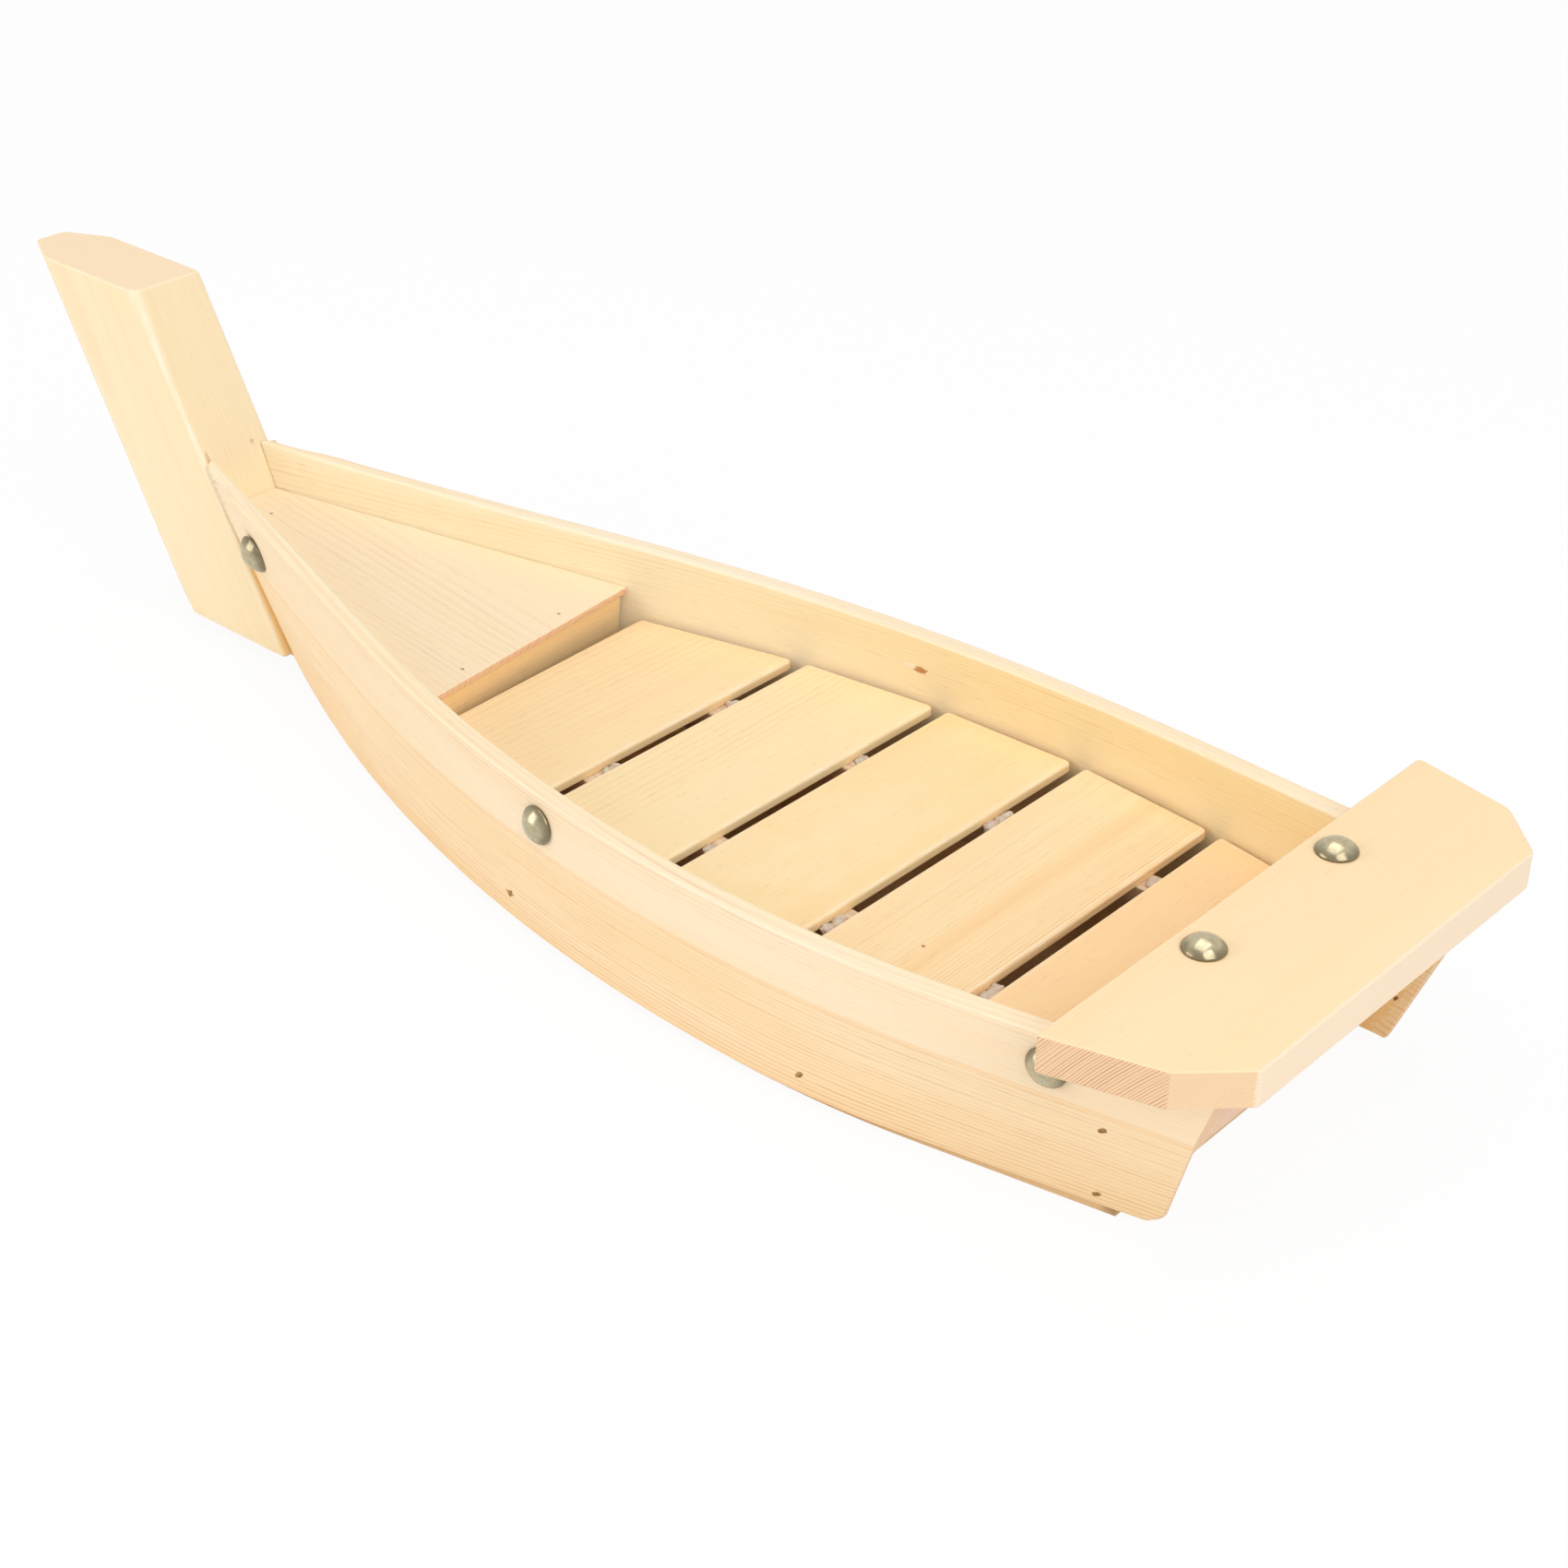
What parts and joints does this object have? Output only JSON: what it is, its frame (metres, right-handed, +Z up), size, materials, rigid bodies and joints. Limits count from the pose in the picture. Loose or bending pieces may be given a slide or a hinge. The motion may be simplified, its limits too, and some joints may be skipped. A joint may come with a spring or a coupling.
{
  "type": "sushi boat",
  "caption": "Wooden boat-shaped sushi platter with a tall raked bow post, bent side planks, a foredeck, a stern board and a lift-out slatted floor.",
  "frame": {"origin": "on the table, under the middle of the overall box", "axes": "+X towards the bow, +Y to port, +Z up"},
  "size_m": [0.5004, 0.1628, 0.1085],
  "materials": {
    "pale_wood": "sanded, unvarnished softwood",
    "slat_wood": "planed, unvarnished softwood",
    "sawn_wood": "sawn, unvarnished softwood",
    "dome_metal": "plated, polished",
    "brad_steel": "dull",
    "dried_glue": "dried glue"
  },
  "bodies": {
    "hull": {"bow_post": "pale_wood", "bow_block": "sawn_wood", "port_plank": "pale_wood", "starboard_plank": "pale_wood", "bottom_board": "sawn_wood", "transom": "sawn_wood", "tail_beam": "sawn_wood", "stern_board": "pale_wood", "foredeck": "pale_wood", "deck_beam": "sawn_wood", "front_bearer": "sawn_wood", "rear_bearer": "sawn_wood", "dome_nails": "dome_metal", "wire_brads": "brad_steel"},
    "slatted_floor": {"slat_1": "slat_wood", "slat_2": "slat_wood", "slat_3": "slat_wood", "slat_4": "slat_wood", "slat_5": "slat_wood", "port_batten": "sawn_wood", "starboard_batten": "sawn_wood", "glue_beads": "dried_glue"}
  },
  "joints": [
    {"name": "floor_lift", "type": "slide", "parent": "hull", "child": "slatted_floor", "axis": [0, 0, 1], "range_m": [0, 0.06]}
  ]
}
